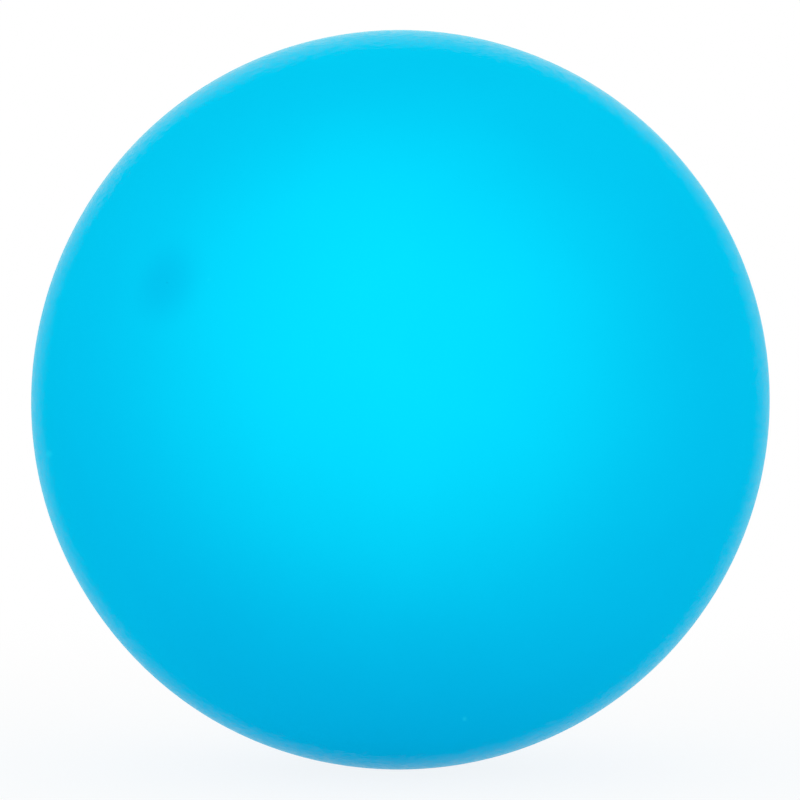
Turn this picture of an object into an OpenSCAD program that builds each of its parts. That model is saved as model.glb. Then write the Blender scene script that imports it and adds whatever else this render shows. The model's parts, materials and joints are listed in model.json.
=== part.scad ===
// Hollow soft vinyl dodgeball with a needle valve moulded in under its skin.
// The origin is the centre of the ball and +Z is up as the ball lies.
// Every round piece is a profile turned about the valve's axis: x is the distance
// from that axis, y the distance from the ball's centre.

/* [Ball] */
// Outside diameter of the inflated ball
ball_d = 216; // [150:1:260]
// Thickness of the skin away from the valve
skin_wall = 2; // [1.4:0.1:3]
// Angle of the valve above the horizon, in degrees, as the ball lies
valve_rise = 20; // [0:1:80]
// Diameter of the needle hole while it is relaxed
needle_hole_d = 0.6; // [0.4:0.1:1.4]

/* [Skin round the valve] */
// Layer of skin over the valve's flange
cover_wall = 1.2; // [0.8:0.1:1.8]
// Layer of skin behind the flange and round its rim
backing_wall = 1.2; // [0.8:0.1:2]
// Radius of the sweep from the wall into the pad
pad_sweep = 4; // [1:0.5:8]
// Wall of the collar round the valve's barrel
collar_wall = 1.2; // [0.8:0.1:1.6]
// Radius of the sweep from the pad into the collar
collar_sweep = 1.4; // [0.5:0.1:1.8]
// Length of barrel that stands out of the collar
bare_barrel = 2.6; // [1:0.1:4]

/* [Valve housing] */
// Diameter of the flange
flange_d = 16; // [15:0.5:22]
// Thickness of the flange
flange_t = 1.4; // [1:0.1:2]
// Outside diameter of the barrel
barrel_d = 8.4; // [8:0.1:9]
// Length of the barrel behind the flange
barrel_len = 12; // [9:0.5:18]
// Rounding of the barrel's inner end
barrel_round = 0.8; // [0.3:0.1:1]
// Number of keying ribs round the barrel
rib_count = 3; // [1:1:4]
// Height of each keying rib
rib_h = 0.4; // [0.2:0.1:0.6]

/* [Valve core] */
// Film of lubricant between the core and what is round it
film = 0.05; // [0.02:0.01:0.1]
// Diameter of the head
head_d = 6.4; // [5.4:0.1:6.8]
// Thickness of the head
head_t = 1.8; // [1.4:0.1:2.4]
// Diameter of the shank
shank_d = 4.2; // [3.6:0.1:4.8]
// Diameter of the barb that keeps the core in
barb_d = 5.8; // [5.2:0.1:6.8]
// Length of the barb's straight land
barb_land = 0.8; // [0.4:0.1:1.2]
// Length of the barb's taper
barb_taper = 2.4; // [1.6:0.1:3.6]
// Diameter of the bill behind the barb
bill_d = 3.8; // [3.4:0.1:4.6]
// Length of the bill
bill_len = 4.4; // [3:0.1:6]
// Thickness of the two closed lips at the bill's tip
bill_tip = 1.4; // [1:0.1:2]
// Width of the slit between the lips
slit_w = 2.4; // [1.6:0.1:2.8]
// Gap of the slit while it is relaxed
slit_gap = 0.15; // [0.1:0.05:0.3]
// Diameter of the funnel that leads the needle in
funnel_d = 2.6; // [1.8:0.1:3.4]
// Depth of the funnel
funnel_depth = 1.2; // [0.8:0.1:1.3]

/* [Hidden] */
$fn = 120;

// How far a cut runs past the face that it opens
overrun = 1;

// Radii from the ball's centre
ball_r = ball_d / 2;
cavity_r = ball_r - skin_wall;
wall_mid_r = ball_r - skin_wall / 2;
flange_out_r = ball_r - cover_wall;
flange_in_r = flange_out_r - flange_t;
flange_mid_r = flange_out_r - flange_t / 2;
pad_in_r = flange_in_r - backing_wall;
pad_mid_r = flange_in_r - backing_wall / 2;

// Radii from the valve's axis
needle_r = needle_hole_d / 2;
barrel_r = barrel_d / 2;
collar_r = barrel_r + collar_wall;
head_r = head_d / 2;
shank_r = shank_d / 2;
barb_r = barb_d / 2;
bill_r = bill_d / 2;
funnel_r = funnel_d / 2;

// Heights along the valve's axis, from the ball's centre
barrel_end = flange_in_r - barrel_len;
collar_end = barrel_end + bare_barrel;
collar_len = pad_in_r - collar_end;
head_under = flange_out_r - head_t;
barb_shoulder = barrel_end - film;
taper_start = barb_shoulder - barb_land;
bill_start = taper_start - barb_taper;
bill_end = bill_start - bill_len;
funnel_foot = flange_out_r - funnel_depth;

// The flange's round rim: its radius, its angle from the valve's axis and its centre
rim_r = flange_t / 2;
rim_angle = asin((flange_d / 2 - rim_r) / flange_mid_r);
rim_centre = on_circle(flange_mid_r, rim_angle);

// The pad's sweep touches the skin over the rim from outside and the cavity wall from inside
pad_rim_r = rim_r + backing_wall;
pad_sweep_r = cavity_r - pad_sweep;
pad_sweep_angle = rim_angle + corner_angle(flange_mid_r, pad_sweep_r, pad_rim_r + pad_sweep);
pad_sweep_centre = on_circle(pad_sweep_r, pad_sweep_angle);

// The collar's sweep touches the collar's side and the underside of the pad
collar_sweep_x = collar_r + collar_sweep;
collar_sweep_r = pad_in_r - collar_sweep;
collar_sweep_y = sqrt(pow(collar_sweep_r, 2) - pow(collar_sweep_x, 2));
collar_sweep_centre = [collar_sweep_x, collar_sweep_y];

// Point at a radius from the ball's centre and an angle from the valve's axis
function on_circle(r, angle) = r * [sin(angle), cos(angle)];

// Angle between two sides of a triangle whose third side is given
function corner_angle(side_a, side_b, opposite) =
    acos((pow(side_a, 2) + pow(side_b, 2) - pow(opposite, 2)) / (2 * side_a * side_b));

// Height of a keying rib's centre: the ribs share the collar's length evenly
function rib_y(i) = pad_in_r - collar_len * (i + 1) / (rib_count + 1);

// Turns the valve's own axis to where it points as the ball lies
module at_valve() {
    rotate([90 - valve_rise, 0, 0]) children();
}

// Ring round the ball's centre, from the valve's axis out to an angle
module ring_sector(inner_r, outer_r, angle) {
    reach = outer_r + overrun;
    intersection() {
        difference() {
            circle(outer_r);
            circle(inner_r);
        }
        polygon([[0, 0], [0, reach], [reach * tan(angle), reach]]);
    }
}

// Half section of a plug whose lower outer edge is rounded
module rounded_plug(r, low, high, edge) {
    translate([0, low + edge]) square([r, high - low - edge]);
    translate([0, low]) square([r - edge, edge]);
    translate([r - edge, low + edge]) circle(edge);
}

// Dished flange that follows the skin, with a full round rim
module flange_profile() {
    ring_sector(flange_in_r, flange_out_r, rim_angle);
    translate(rim_centre) circle(rim_r);
}

// Outside of the whole housing, which is also the pocket that the skin leaves for it
module housing_profile() {
    flange_profile();
    rounded_plug(barrel_r, barrel_end, flange_mid_r, barrel_round);
    for (i = [0:rib_count - 1])
        translate([barrel_r, rib_y(i)]) circle(rib_h);
}

// Room for the core in the housing: a recess for the head over a bore for the shank
module core_seat_profile() {
    translate([0, head_under - film]) square([head_r + film, head_t + film + overrun]);
    translate([0, barrel_end - overrun])
        square([shank_r + film, head_under - barrel_end + overrun]);
}

// Skin that wraps the flange like an even coat, swept out into the wall
module pad_profile() {
    intersection() {
        circle(wall_mid_r);
        union() {
            ring_sector(pad_in_r, wall_mid_r, rim_angle);
            translate(rim_centre) circle(pad_rim_r);
            difference() {
                polygon([
                    rim_centre,
                    pad_sweep_centre,
                    on_circle(ball_r, pad_sweep_angle),
                    on_circle(ball_r, rim_angle)
                ]);
                translate(pad_sweep_centre) circle(pad_sweep);
            }
        }
    }
}

// Collar round the barrel, swept out into the pad
module collar_profile() {
    rounded_plug(collar_r, collar_end, pad_mid_r, collar_wall / 2);
    difference() {
        polygon([
            [0, collar_sweep_y],
            collar_sweep_centre,
            collar_sweep_centre * pad_mid_r / collar_sweep_r,
            [0, pad_mid_r]
        ]);
        translate(collar_sweep_centre) circle(collar_sweep);
    }
}

// Half section of the whole skin
module skin_profile() {
    difference() {
        union() {
            intersection() {
                difference() {
                    circle(ball_r);
                    circle(cavity_r);
                }
                translate([0, -ball_r]) square([ball_r, ball_d]);
            }
            pad_profile();
            collar_profile();
        }
        housing_profile();
        translate([0, flange_mid_r]) square([needle_r, ball_r]);
    }
}

// Half section of the core: dished head, shank and barb, with the funnel and needle channel
module core_profile() {
    difference() {
        union() {
            intersection() {
                circle(flange_out_r - film);
                translate([0, head_under]) square([head_r, head_t]);
            }
            translate([0, barb_shoulder]) square([shank_r, head_under - barb_shoulder]);
            polygon([
                [0, barb_shoulder],
                [barb_r, barb_shoulder],
                [barb_r, taper_start],
                [bill_r, bill_start],
                [0, bill_start]
            ]);
        }
        translate([0, bill_start - overrun]) square([needle_r, flange_out_r - bill_start]);
        polygon([
            [0, funnel_foot],
            [needle_r, funnel_foot],
            [funnel_r, flange_out_r],
            [funnel_r, flange_out_r + overrun],
            [0, flange_out_r + overrun]
        ]);
    }
}

// Two lips that thin towards the tip, with the slit that air pressure shuts
module bill() {
    difference() {
        intersection() {
            translate([0, 0, bill_end]) cylinder(r = bill_r, h = bill_len);
            rotate([90, 0, 0])
                linear_extrude(bill_d, center = true)
                    polygon([
                        [-bill_r, bill_start],
                        [-bill_tip / 2, bill_end],
                        [bill_tip / 2, bill_end],
                        [bill_r, bill_start]
                    ]);
        }
        translate([-slit_gap / 2, -slit_w / 2, bill_end - overrun])
            cube([slit_gap, slit_w, bill_len + 2 * overrun]);
    }
}

// Seamless soft vinyl shell with its pad and collar round the valve
module skin() {
    color([0.01, 0.80, 0.96])
        at_valve() rotate_extrude() skin_profile();
}

// Rubber housing moulded in under the skin
module valve_body() {
    color([0.16, 0.22, 0.28])
        at_valve() rotate_extrude() difference() {
            housing_profile();
            core_seat_profile();
        }
}

// Soft self-sealing rubber core pulled into the housing
module valve_core() {
    color([0.10, 0.10, 0.11])
        at_valve() {
            rotate_extrude() core_profile();
            bill();
        }
}

skin();
valve_body();
valve_core();
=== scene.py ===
import json
import math

import bmesh
import bpy
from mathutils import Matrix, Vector


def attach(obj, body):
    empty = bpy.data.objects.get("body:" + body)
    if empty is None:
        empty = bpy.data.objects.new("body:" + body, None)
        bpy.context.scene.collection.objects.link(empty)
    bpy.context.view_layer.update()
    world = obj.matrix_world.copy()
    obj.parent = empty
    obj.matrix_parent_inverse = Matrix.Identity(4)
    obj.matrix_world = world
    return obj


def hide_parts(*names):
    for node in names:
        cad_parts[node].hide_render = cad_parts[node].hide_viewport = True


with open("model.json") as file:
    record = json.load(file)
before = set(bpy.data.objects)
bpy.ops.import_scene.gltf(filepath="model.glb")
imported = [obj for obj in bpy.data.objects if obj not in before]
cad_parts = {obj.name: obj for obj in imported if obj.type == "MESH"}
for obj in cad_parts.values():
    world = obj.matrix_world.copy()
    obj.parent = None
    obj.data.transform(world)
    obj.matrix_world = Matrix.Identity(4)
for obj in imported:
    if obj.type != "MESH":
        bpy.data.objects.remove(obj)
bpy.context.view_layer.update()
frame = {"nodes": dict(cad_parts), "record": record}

mm = 0.001

mounts = {mount["name"]: mount for mount in frame["record"]["mounts"]}
valveAxis = Vector(mounts["needle_port"]["axis"]).normalized()
floorHeight = mounts["floor_contact"]["pos_m"][2]
ballRadius = -floorHeight
print("frame loaded, ball radius", round(ballRadius, 4))


# Camera: a long lens low over the floor, so that the ball fills the frame as in the photograph
cameraView = {
    "azimuth": 39.7,                  # degrees round the ball
    "elevation": 3.2,                 # degrees above the horizon
    "distance": 1.6,                  # from the ball's centre
    "photoWidth": 800,                # pixels
    "outlineRadius": 369.8,           # pixels, in the photograph
    "outlineCentre": (400.0, 399.7),  # pixels from the photograph's upper left corner
    "sensorWidth": 36,                # millimetres
}


def towards(azimuth, elevation):
    # direction from the ball's centre to a viewer or a lamp
    turn, rise = math.radians(azimuth), math.radians(elevation)
    level = math.cos(rise)
    return Vector((math.sin(turn) * level, -math.cos(turn) * level, math.sin(rise)))


def aimAtBall(thing):
    thing.rotation_euler = (-thing.location).to_track_quat("-Z", "Y").to_euler()


def towardsOutline(around):
    # direction from the ball's centre to its outline, in degrees counter-clockwise from the right
    turn = math.radians(around)
    return cameraRight * math.cos(turn) + cameraUp * math.sin(turn)


def photoPoint(x, y):
    # point of the ball's surface that shows at a pixel of the photograph
    centreX, centreY = cameraView["outlineCentre"]
    ray = (cameraRight * (x - centreX) + cameraUp * (centreY - y) - cameraBack * focalPixels).normalized()
    start = cameraBack * cameraView["distance"]
    along = ray.dot(start)
    return start - ray * (along + math.sqrt(along**2 - start.length_squared + ballRadius**2))


cameraBack = towards(cameraView["azimuth"], cameraView["elevation"])
cameraRight = Vector((0, 0, 1)).cross(cameraBack).normalized()
cameraUp = cameraBack.cross(cameraRight)
outlineReach = math.sqrt(cameraView["distance"] ** 2 - ballRadius**2)
focalPixels = cameraView["outlineRadius"] * outlineReach / ballRadius

lens = bpy.data.cameras.new("studioCamera")
lens.sensor_width = cameraView["sensorWidth"]
lens.lens = focalPixels * cameraView["sensorWidth"] / cameraView["photoWidth"]
# The outline's middle is a little off the photograph's
lens.shift_x = 0.5 - cameraView["outlineCentre"][0] / cameraView["photoWidth"]
lens.shift_y = cameraView["outlineCentre"][1] / cameraView["photoWidth"] - 0.5
camera = bpy.data.objects.new("studioCamera", lens)
camera.location = cameraBack * cameraView["distance"]
aimAtBall(camera)
scene = bpy.context.scene
scene.collection.objects.link(camera)
scene.camera = camera
scene.view_settings.view_transform = "Standard"
print("camera placed, lens", round(lens.lens, 1), "mm")


# Shader helpers
def feed(tree, socket, value):
    # links a socket to another one, or sets its own value
    if isinstance(value, bpy.types.NodeSocket):
        tree.links.new(value, socket)
    elif socket.type == "RGBA":
        socket.default_value = (*value, 1)
    else:
        socket.default_value = value


def addNode(tree, kind, sockets=None, **settings):
    made = tree.nodes.new(kind)
    for name, value in settings.items():
        setattr(made, name, value)
    for name, value in (sockets or {}).items():
        feed(tree, made.inputs[name], value)
    return made


def mixColours(tree, share, first, second, blend="MIX"):
    # a colour mix has its share, colours and result at these places among its sockets
    made = addNode(tree, "ShaderNodeMix", data_type="RGBA", blend_type=blend)
    for place, value in ((0, share), (6, first), (7, second)):
        feed(tree, made.inputs[place], value)
    return made.outputs[2]


def mapValue(tree, value, fromLow, fromHigh, toLow=0, toHigh=1, curve="SMOOTHERSTEP"):
    sockets = {"Value": value, "From Min": fromLow, "From Max": fromHigh, "To Min": toLow, "To Max": toHigh}
    return addNode(tree, "ShaderNodeMapRange", sockets, interpolation_type=curve).outputs["Result"]


def calculate(tree, operation, first, second=0):
    return addNode(tree, "ShaderNodeMath", {0: first, 1: second}, operation=operation).outputs["Value"]


def vectorMath(tree, operation, first, second=(0, 0, 0)):
    made = addNode(tree, "ShaderNodeVectorMath", {0: first, 1: second}, operation=operation)
    return made.outputs["Vector" if operation in ("SUBTRACT", "CROSS_PRODUCT") else "Value"]


def newGroup(name, inputs, outputs):
    group = bpy.data.node_groups.new(name, "ShaderNodeTree")
    for socketName, kind, value in inputs:
        socket = group.interface.new_socket(name=socketName, in_out="INPUT", socket_type=kind)
        if value is not None:
            socket.default_value = value
    for socketName, kind in outputs:
        group.interface.new_socket(name=socketName, in_out="OUTPUT", socket_type=kind)
    return group, group.nodes.new("NodeGroupInput").outputs, group.nodes.new("NodeGroupOutput").inputs


def placeGroup(tree, group, sockets):
    return addNode(tree, "ShaderNodeGroup", sockets, node_tree=group).outputs


def newMaterial(name):
    material = bpy.data.materials.new(name)
    material.use_nodes = True
    tree = material.node_tree
    place = addNode(tree, "ShaderNodeTexCoord").outputs["Object"]
    return material, tree, tree.nodes["Principled BSDF"], place


# Fine matte grain of a moulded surface, with the slow unevenness of its thickness
grainNoise = {
    "Height": {"Detail": 3.0, "Roughness": 0.6},
    "Cloud": {"Detail": 2.0, "Roughness": 0.5},
}


def makeGrain():
    group, given, result = newGroup("mouldedGrain", [
        ("Place", "NodeSocketVector", None),
        ("Fineness", "NodeSocketFloat", 1500.0),   # grains in a metre
        ("Broadness", "NodeSocketFloat", 30.0),    # clouds in a metre
    ], [("Height", "NodeSocketFloat"), ("Cloud", "NodeSocketFloat")])
    for output, scale in (("Height", "Fineness"), ("Cloud", "Broadness")):
        sockets = {"Vector": given["Place"], "Scale": given[scale], **grainNoise[output]}
        noise = addNode(group, "ShaderNodeTexNoise", sockets)
        group.links.new(noise.outputs["Fac"], result[output])
    return group


# Sparse specks: a share of the cells of a random pattern holds one soft dot each
def makeSpecks():
    group, given, result = newGroup("looseSpecks", [
        ("Place", "NodeSocketVector", None),
        ("Closeness", "NodeSocketFloat", 100.0),   # cells in a metre
        ("Share", "NodeSocketFloat", 0.1),         # of the cells that hold a speck
        ("Size", "NodeSocketFloat", 0.1),          # radius, as a share of a cell
    ], [("Mask", "NodeSocketFloat")])
    cells = addNode(group, "ShaderNodeTexVoronoi", {"Vector": given["Place"], "Scale": given["Closeness"]})
    choice = addNode(group, "ShaderNodeSeparateColor", {"Color": cells.outputs["Color"]})
    chosen = calculate(group, "LESS_THAN", choice.outputs["Red"], given["Share"])
    reach = calculate(group, "MULTIPLY", given["Size"], choice.outputs["Green"])
    dot = mapValue(group, cells.outputs["Distance"], 0, reach, 1, 0)
    group.links.new(calculate(group, "MULTIPLY", dot, chosen), result["Mask"])
    return group


grain = makeGrain()
specks = makeSpecks()
heightSpan = (0.3, 0.7)   # what the grain's height mostly covers, out of 0 to 1
print("shader groups made")


def finishSurface(tree, shader, colour, surface, finish):
    # colour, roughness and bump of a moulded surface; returns its fine normal
    relief = {"Height": surface["Height"], "Distance": finish["grainDepth"]}
    normal = addNode(tree, "ShaderNodeBump", relief).outputs["Normal"]
    roughness = mapValue(tree, surface["Height"], *heightSpan, *finish["roughness"])
    feed(tree, shader.inputs["Base Color"], colour)
    feed(tree, shader.inputs["Roughness"], roughness)
    feed(tree, shader.inputs["Normal"], normal)
    shader.inputs["Specular IOR Level"].default_value = finish["specularLevel"]
    return normal


# Skin vinyl
skinFinish = {
    "colour": (0.0008, 0.62, 0.95),
    "grain": {"Fineness": 1400.0, "Broadness": 22.0},
    "grainDepth": 0.004 * mm,
    "roughness": (0.32, 0.44),             # in the grain's hollows and on its crests
    "specularLevel": 0.0,                  # the film alone has gloss
    "cloud": (0.985, 0.985, 0.99),         # tint of the slightly thicker clouds
    "cloudSpan": (0.35, 0.65),             # of the clouds' height, over which that tint comes in
    "valveShade": (1.0, 0.885, 0.936),     # painted shadow of the flange under the skin: what it leaves of the colour
    "valveShadeReach": 17.5 * mm,          # nothing left of the painted shadow this far from the pinhole
    "specks": {"Closeness": 140.0, "Share": 0.04, "Size": 0.12},
    "speckTint": (0.012, 0.72, 1.0),
    "speckStrength": 0.25,
    "paleMarks": {                             # pale marks: pixel in the photograph, radius, strength
        "dot": ((464.6, 718.9), 1.1 * mm, 0.9),
        "rimMark": ((49, 454), 1.6 * mm, 0.7),
    },
}
# Soft bloom of the vinyl, which glances off it towards the edge
bloomFinish = {
    "weight": 0.24,
    "roughness": 0.4,                      # more spreads it inwards from the edge
    "tint": (0.0, 1.0, 0.85),
}
# Clear outer film of the skin, which mirrors the room only where the skin turns edge-on
filmFinish = {
    "start": 0.721,                        # of the way from facing the eye to edge-on
    "startAtCrest": 0.685,                 # the same where the film is glossiest
    "startVaries": 0.035,                  # up and down from there
    "unevenness": {"Fineness": 1000.0, "Broadness": 550.0},
    "blotches": 0.35,                      # share by which the weight rises and falls with the clouds
    "flecks": 0.5,                         # the same with the fine grain
    "atEdge": 0.36,                        # coat weight edge-on
    "atFoot": 0.44,                        # the same at the foot, opposite the crest
    "atCrest": 0.60,                       # the same at the crest, where the film is glossiest
    "crest": 98,                           # degrees round the outline in the photograph, from the right
    "crestReach": (0.3, 0.8),              # cosines of the angle from the crest, outer and inner
    "startReach": (0.75, 0.95),            # the same for where the film starts
    "footReach": (-0.9, -0.6),             # the same for the foot
    "roughness": 0.12,
    "tint": (1.0, 0.9, 0.93),
}


def paleMark(tree, place, point, radius, strength):
    # pale mark that looks round from the photograph's side: it is drawn out along the line of sight
    sight = (cameraBack * cameraView["distance"] - point).normalized()
    beside = vectorMath(tree, "CROSS_PRODUCT", vectorMath(tree, "SUBTRACT", place, point), sight)
    mark = mapValue(tree, vectorMath(tree, "LENGTH", beside), 0, radius, strength, 0)
    nearSide = ballRadius / 2   # it shows only this near the point, and not on the ball's far side
    near = calculate(tree, "LESS_THAN", vectorMath(tree, "DISTANCE", place, point), nearSide)
    return calculate(tree, "MULTIPLY", mark, near)


def filmWeight(tree, place, normal):
    # coat weight: nothing in the middle, and most edge-on
    film = filmFinish
    along = vectorMath(tree, "DOT_PRODUCT", place, towardsOutline(film["crest"]) / ballRadius)
    least = mapValue(tree, along, *film["footReach"], film["atFoot"], film["atEdge"])
    most = mapValue(tree, along, *film["crestReach"], least, film["atCrest"])
    uneven = placeGroup(tree, grain, {"Place": place, **film["unevenness"]})
    shift = mapValue(tree, uneven["Cloud"], *heightSpan, -film["startVaries"], film["startVaries"], "LINEAR")
    start = mapValue(tree, along, *film["startReach"], film["start"], film["startAtCrest"])
    start = calculate(tree, "ADD", start, shift)
    for texture, rise in (("Cloud", -film["blotches"]), ("Height", film["flecks"])):
        varied = mapValue(tree, uneven[texture], *heightSpan, 1 - rise, 1 + rise, "LINEAR")
        most = calculate(tree, "MULTIPLY", most, varied)
    facing = addNode(tree, "ShaderNodeLayerWeight", {"Normal": normal}).outputs["Facing"]
    return mapValue(tree, facing, start, 1, 0, most, "LINEAR")


def makeSkinVinyl():
    finish = skinFinish
    untinted = (1, 1, 1)
    material, tree, shader, place = newMaterial("matteSkyVinyl")
    surface = placeGroup(tree, grain, {"Place": place, **finish["grain"]})
    thick = mapValue(tree, surface["Cloud"], *finish["cloudSpan"])
    cloudTint = mixColours(tree, thick, untinted, finish["cloud"])
    fromValve = vectorMath(tree, "DISTANCE", place, valveAxis * ballRadius)
    # painted shadow of the valve's flange seen through the skin, darkest over the pinhole
    paintedFlangeShadow = mapValue(tree, fromValve, 0, finish["valveShadeReach"], 1, 0)
    paintedFlangeShadowTint = mixColours(tree, paintedFlangeShadow, untinted, finish["valveShade"])
    tint = mixColours(tree, 1, cloudTint, paintedFlangeShadowTint, "MULTIPLY")
    colour = mixColours(tree, 1, finish["colour"], tint, "MULTIPLY")
    dust = placeGroup(tree, specks, {"Place": place, **finish["specks"]})
    pale = calculate(tree, "MULTIPLY", dust["Mask"], finish["speckStrength"])
    for pixel, radius, strength in finish["paleMarks"].values():
        pale = calculate(tree, "MAXIMUM", pale, paleMark(tree, place, photoPoint(*pixel), radius, strength))
    colour = mixColours(tree, pale, colour, finish["speckTint"])
    normal = finishSurface(tree, shader, colour, surface, finish)
    feed(tree, shader.inputs["Coat Weight"], filmWeight(tree, place, normal))
    shader.inputs["Coat Roughness"].default_value = filmFinish["roughness"]
    shader.inputs["Coat Tint"].default_value = (*filmFinish["tint"], 1)
    shader.inputs["Sheen Weight"].default_value = bloomFinish["weight"]
    shader.inputs["Sheen Roughness"].default_value = bloomFinish["roughness"]
    shader.inputs["Sheen Tint"].default_value = (*bloomFinish["tint"], 1)
    return material


# Valve rubber: the housing is firmer and paler than the soft black core
rubberDust = {
    "specks": {"Closeness": 900.0, "Share": 0.15, "Size": 0.2},
    "colour": (0.5, 0.5, 0.48),
    "strength": 0.4,
}
rubberFinishes = {
    "valve_body": {
        "name": "housingRubber",
        "colour": (0.16, 0.22, 0.28),
        "bloom": (0.24, 0.29, 0.34),       # pale bloom where the rubber has aged
        "bloomSpan": (0.4, 0.75),
        "grain": {"Fineness": 2600.0, "Broadness": 320.0},
        "grainDepth": 0.02 * mm,
        "roughness": (0.50, 0.66),
        "specularLevel": 0.4,
    },
    "valve_core": {
        "name": "coreRubber",
        "colour": (0.022, 0.022, 0.025),
        "bloom": (0.06, 0.06, 0.065),
        "bloomSpan": (0.4, 0.75),
        "grain": {"Fineness": 3400.0, "Broadness": 320.0},
        "grainDepth": 0.015 * mm,
        "roughness": (0.38, 0.55),
        "specularLevel": 0.5,
    },
}


def makeRubber(finish):
    material, tree, shader, place = newMaterial(finish["name"])
    surface = placeGroup(tree, grain, {"Place": place, **finish["grain"]})
    aged = mapValue(tree, surface["Cloud"], *finish["bloomSpan"])
    colour = mixColours(tree, aged, finish["colour"], finish["bloom"])
    dust = placeGroup(tree, specks, {"Place": place, **rubberDust["specks"]})
    dusty = calculate(tree, "MULTIPLY", dust["Mask"], rubberDust["strength"])
    finishSurface(tree, shader, mixColours(tree, dusty, colour, rubberDust["colour"]), surface, finish)
    return material


def dress(node, material):
    shape = frame["nodes"][node]
    shape.data.materials.clear()
    shape.data.materials.append(material)


skinVinyl = makeSkinVinyl()
dress("skin", skinVinyl)
for node, finish in rubberFinishes.items():
    dress(node, makeRubber(finish))
print("vinyl and rubber finished")


# Skin: one closed shell turned about the valve's axis, with its pad and collar inside round the valve.
# Sizes are millimetres and the CAD model's own.
skinShape = {
    "wall": 2,
    "cover": 1.2,               # skin over the valve's flange
    "backing": 1.2,             # skin behind the flange and round its rim
    "padSweep": 4,              # radius by which the pad runs out into the wall
    "collarWall": 1.2,          # skin round the valve's barrel
    "collarSweep": 1.4,         # radius by which the collar runs out into the pad
    "bareBarrel": 2.6,          # end of the barrel that stands out of the collar
    "flangeWidth": 16,
    "flangeThickness": 1.4,
    "barrelWidth": 8.4,
    "barrelLength": 12,
    "ribCount": 3,
    "ribHeight": 0.4,
    "pinholeRadius": 0.3,
    "mouthRadius": 0.1,         # of the pinhole at the surface, where the relaxed skin closes over it
    "mouthDepth": 0.5,          # where the pinhole is as wide as the needle's way in
    "lip": 0.1,                 # rounding of the pinhole's outer edge
    "evenRoundValve": 12,       # degrees from the valve's axis, within which the skin is even
    "crease": 35,               # degrees, above which an edge is sharp
    "segments": 192,            # round the axis
    "outerRings": 150,
    "outerCrowding": 1.5,       # above 1 draws those rings towards the valve
    "innerRings": 96,
    "steps": {                  # along each small curve of the section
        "lip": 5, "flangeFace": 8, "flangeRim": 12, "flangeBack": 3, "rib": 8,
        "collarEnd": 5, "collarSweep": 10, "padRim": 8, "padSweep": 12,
    },
}

# Slight unevenness of the air-filled skin: degrees round the outline in the photograph, counter-clockwise
# from the right, the height in millimetres and the width in degrees
skinWaves = {"flat": (160, -0.45, 26), "full": (240, 0.35, 20)}


def onCircle(radius, angle):
    # angle from the valve's axis, in degrees
    return Vector((radius * math.sin(math.radians(angle)), radius * math.cos(math.radians(angle))))


def arc(centre, radius, first, last, steps, ease=1.0):
    # points along a circle; an ease above 1 crowds them near the first angle
    return [centre + onCircle(radius, first + (last - first) * (i / steps) ** ease) for i in range(steps + 1)]


def angleOff(reach, radius):
    # degrees from the valve's axis to the point of a circle that is this far from the axis
    return math.degrees(math.asin(reach / radius))


def cornerAngle(sideA, sideB, opposite):
    # degrees between two sides of a triangle
    return math.degrees(math.acos((sideA**2 + sideB**2 - opposite**2) / (2 * sideA * sideB)))


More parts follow.
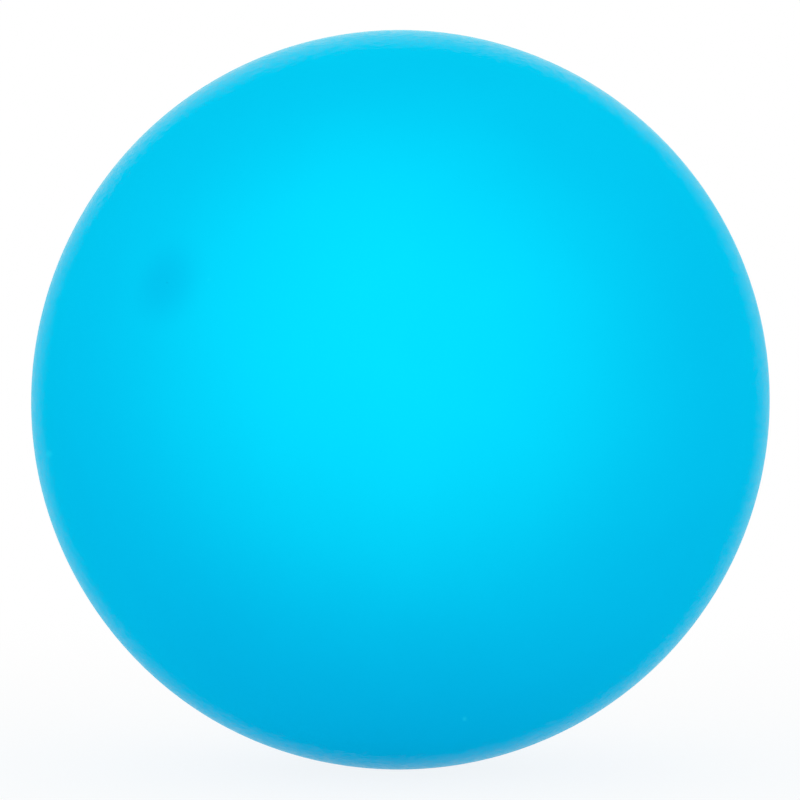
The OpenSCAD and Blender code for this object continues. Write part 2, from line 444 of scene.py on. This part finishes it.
def skinProfile(size):
    # from the far pole of the outside, over the valve, to the far pole of the inside
    ball = ballRadius / mm
    cavity = ball - size["wall"]
    flangeOut = ball - size["cover"]
    flangeIn = flangeOut - size["flangeThickness"]
    flangeMid = flangeOut - size["flangeThickness"] / 2
    padIn = flangeIn - size["backing"]
    barrel = size["barrelWidth"] / 2
    collar = barrel + size["collarWall"]
    collarEnd = flangeIn - size["barrelLength"] + size["bareBarrel"]
    edge = size["collarWall"] / 2
    rim = size["flangeThickness"] / 2
    rimAngle = angleOff(size["flangeWidth"] / 2 - rim, flangeMid)
    rimCentre = onCircle(flangeMid, rimAngle)
    padRim = rim + size["backing"]
    sweepOut = cavity - size["padSweep"]
    sweepAngle = rimAngle + cornerAngle(flangeMid, sweepOut, padRim + size["padSweep"])
    sweepCentre = onCircle(sweepOut, sweepAngle)
    inward = sweepCentre - rimCentre
    meetAngle = math.degrees(math.atan2(inward.x, inward.y))
    collarSweepX = collar + size["collarSweep"]
    collarSweepOut = padIn - size["collarSweep"]
    collarSweepCentre = Vector((collarSweepX, math.sqrt(collarSweepOut**2 - collarSweepX**2)))
    collarSweepAngle = angleOff(collarSweepX, collarSweepOut)
    pinhole, mouth, lip = size["pinholeRadius"], size["mouthRadius"], size["lip"]
    lipAngle = angleOff(mouth + lip, ball - lip)
    middle = Vector((0, 0))
    steps = size["steps"]

    # outside and pinhole
    points = arc(middle, ball, lipAngle, 180, size["outerRings"], size["outerCrowding"])[::-1]
    points += arc(onCircle(ball - lip, lipAngle), lip, lipAngle, -90, steps["lip"])[1:]
    points += [Vector((pinhole, ball - size["mouthDepth"]))]
    # pocket of the valve: its flange, its ribbed barrel
    points += arc(middle, flangeOut, angleOff(pinhole, flangeOut), rimAngle, steps["flangeFace"])
    points += arc(rimCentre, rim, rimAngle, rimAngle + 180, steps["flangeRim"])[1:]
    points += arc(middle, flangeIn, rimAngle, angleOff(barrel, flangeIn), steps["flangeBack"])[1:]
    ribGap = (padIn - collarEnd) / (size["ribCount"] + 1)
    for i in range(size["ribCount"]):
        points += arc(Vector((barrel, padIn - ribGap * (i + 1))), size["ribHeight"], 0, 180, steps["rib"])
    points += [Vector((barrel, collarEnd))]
    # collar, pad and inside
    points += arc(Vector((collar - edge, collarEnd + edge)), edge, 180, 90, steps["collarEnd"])
    points += arc(collarSweepCentre, size["collarSweep"], -90, collarSweepAngle, steps["collarSweep"])
    points += arc(rimCentre, padRim, rimAngle + 180, meetAngle, steps["padRim"])
    points += arc(sweepCentre, size["padSweep"], meetAngle - 180, sweepAngle, steps["padSweep"])[1:]
    points += arc(middle, cavity, sweepAngle, 180, size["innerRings"])[1:]
    return points


def unevenness(direction):
    # millimetres that the skin stands out in a direction, and nothing round the valve
    if direction.angle(valveAxis) < math.radians(skinShape["evenRoundValve"]):
        return 0
    height = 0
    for around, rise, width in skinWaves.values():
        away = math.degrees(direction.angle(towardsOutline(around)))
        height += rise * math.exp(-((away / width) ** 2))
    return height


def makeSkin():
    size = skinShape
    side = valveAxis.orthogonal().normalized()
    across = valveAxis.cross(side)
    turns = [2 * math.pi * k / size["segments"] for k in range(size["segments"])]
    circle = [side * math.cos(turn) + across * math.sin(turn) for turn in turns]
    shell = bmesh.new()

    def addPoint(position):
        return shell.verts.new((position + position.normalized() * unevenness(position)) * mm)

    profile = skinProfile(size)
    first = addPoint(valveAxis * profile[0].y)
    last = addPoint(valveAxis * profile[-1].y)
    rings = [[addPoint(out * point.x + valveAxis * point.y) for out in circle] for point in profile[1:-1]]
    for k in range(size["segments"]):
        after = (k + 1) % size["segments"]
        shell.faces.new((first, rings[0][k], rings[0][after]))
        shell.faces.new((last, rings[-1][after], rings[-1][k]))
        for ring, nextRing in zip(rings, rings[1:]):
            shell.faces.new((ring[k], nextRing[k], nextRing[after], ring[after]))
    bmesh.ops.recalc_face_normals(shell, faces=shell.faces)
    mesh = bpy.data.meshes.new("vinylSkin")
    shell.to_mesh(mesh)
    shell.free()
    mesh.shade_smooth()
    mesh.set_sharp_from_angle(angle=math.radians(size["crease"]))
    mesh.materials.append(skinVinyl)
    skin = bpy.data.objects.new("vinylSkin", mesh)
    scene.collection.objects.link(skin)
    return skin


skin = makeSkin()
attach(skin, "root")
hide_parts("skin")
print("skin made,", len(skin.data.polygons), "faces")


# Studio: a bright room, a pale floor, a soft oval spot beside the camera, and a dim light table
# under the ball
frontSpot = {
    "turn": -2.05,               # degrees to the right of the camera
    "lift": 7.3,                 # degrees above the camera
    "distance": 1.3,             # from the ball's centre
    "reach": 0.1035,             # where its soft edge ends, from its axis, at the ball's centre
    "oval": (1.046, 0.954),      # shares of that reach along the oval and across it
    "tilt": -31,                 # degrees from level to the oval's long side, counter-clockwise
    "blend": 1.0,                # share of its reach that is soft edge
    "softness": 0.02,            # radius of the lamp itself
    "power": 21.1,
    "colour": (1.0, 1.0, 0.556),
}
lightTable = {
    "radius": 0.8,
    "height": 0.0002,            # above the floor
    "power": 2.36,
    "colour": (0.86, 0.97, 1.0),
}
room = {
    "walls": (1.18, 1.18, 1.24),         # light from the horizon
    "ceiling": (0.815, 0.815, 0.79),     # light from overhead
    "background": (1, 1, 1),             # what the camera, mirrors and glass see
}
floorLook = {
    "radius": 3.0,
    "segments": 96,                      # round its edge
    "colour": (0.36, 0.35, 0.42),        # what it reflects on the ball
    "seenColour": (0.95, 0.95, 0.95),    # what keeps the ball's shadow in view
    "white": (0.86, 1.0),                # share of plain white in view, at the ball and far from it
    "reach": (0.12, 0.55),               # from the ball's foot, where these two hold
}


def addLamp(name, kind, values):
    light = bpy.data.lights.new(name, kind)
    light.energy = values["power"]
    light.color = values["colour"]
    lamp = bpy.data.objects.new(name, light)
    lamp.visible_camera = lamp.visible_glossy = False
    scene.collection.objects.link(lamp)
    return lamp, light


def makeFrontSpot():
    lamp, light = addLamp("frontSpot", "SPOT", frontSpot)
    light.spot_size = 2 * math.atan(frontSpot["reach"] / frontSpot["distance"])
    light.spot_blend = frontSpot["blend"]
    light.shadow_soft_size = frontSpot["softness"]
    lamp.location = towards(cameraView["azimuth"] + frontSpot["turn"],
                            cameraView["elevation"] + frontSpot["lift"]) * frontSpot["distance"]
    aimAtBall(lamp)
    lamp.rotation_euler.rotate_axis("Z", math.radians(frontSpot["tilt"]))
    lamp.scale = (*frontSpot["oval"], 1)


def makeLightTable():
    lamp, light = addLamp("lightTable", "AREA", lightTable)
    light.shape = "DISK"
    light.size = 2 * lightTable["radius"]
    lamp.location.z = floorHeight + lightTable["height"]
    lamp.rotation_euler.x = math.pi


def seenDirectly(tree):
    # 1 for the camera, mirrors and glass, and 0 for the light that falls on the object
    path = addNode(tree, "ShaderNodeLightPath").outputs
    seen = calculate(tree, "MAXIMUM", path["Is Camera Ray"], path["Is Glossy Ray"])
    return calculate(tree, "MAXIMUM", seen, path["Is Transmission Ray"])


def makeRoom():
    world = bpy.data.worlds.new("brightRoom")
    scene.world = world
    world.use_nodes = True
    tree = world.node_tree
    tree.nodes.clear()
    direction = addNode(tree, "ShaderNodeTexCoord").outputs["Generated"]
    height = vectorMath(tree, "DOT_PRODUCT", direction, (0, 0, 1))
    light = mixColours(tree, mapValue(tree, height, 0, 1, curve="LINEAR"), room["walls"], room["ceiling"])
    fill = addNode(tree, "ShaderNodeBackground", {"Color": light, "Strength": 1})
    white = addNode(tree, "ShaderNodeBackground", {"Color": room["background"], "Strength": 1})
    mix = addNode(tree, "ShaderNodeMixShader", {0: seenDirectly(tree), 1: fill.outputs["Background"],
                                                2: white.outputs["Background"]})
    addNode(tree, "ShaderNodeOutputWorld", {"Surface": mix.outputs["Shader"]})


def makeFloor():
    look = floorLook
    disc = bmesh.new()
    bmesh.ops.create_circle(disc, cap_ends=True, segments=look["segments"], radius=look["radius"])
    mesh = bpy.data.meshes.new("studioFloor")
    disc.to_mesh(mesh)
    disc.free()
    floor = bpy.data.objects.new("studioFloor", mesh)
    floor.location.z = floorHeight
    scene.collection.objects.link(floor)
    material, tree, shader, place = newMaterial("paleFloor")
    tree.nodes.remove(shader)
    seen = seenDirectly(tree)
    matt = addNode(tree, "ShaderNodeBsdfDiffuse",
                   {"Color": mixColours(tree, seen, look["colour"], look["seenColour"])})
    white = addNode(tree, "ShaderNodeEmission", {"Color": (1, 1, 1), "Strength": 1})
    away = mapValue(tree, vectorMath(tree, "LENGTH", place), *look["reach"], *look["white"])
    mix = addNode(tree, "ShaderNodeMixShader", {0: calculate(tree, "MULTIPLY", seen, away),
                                                1: matt.outputs["BSDF"], 2: white.outputs["Emission"]})
    feed(tree, tree.nodes["Material Output"].inputs["Surface"], mix.outputs["Shader"])
    mesh.materials.append(material)


makeFrontSpot()
makeLightTable()
makeRoom()
makeFloor()
print("studio lit")
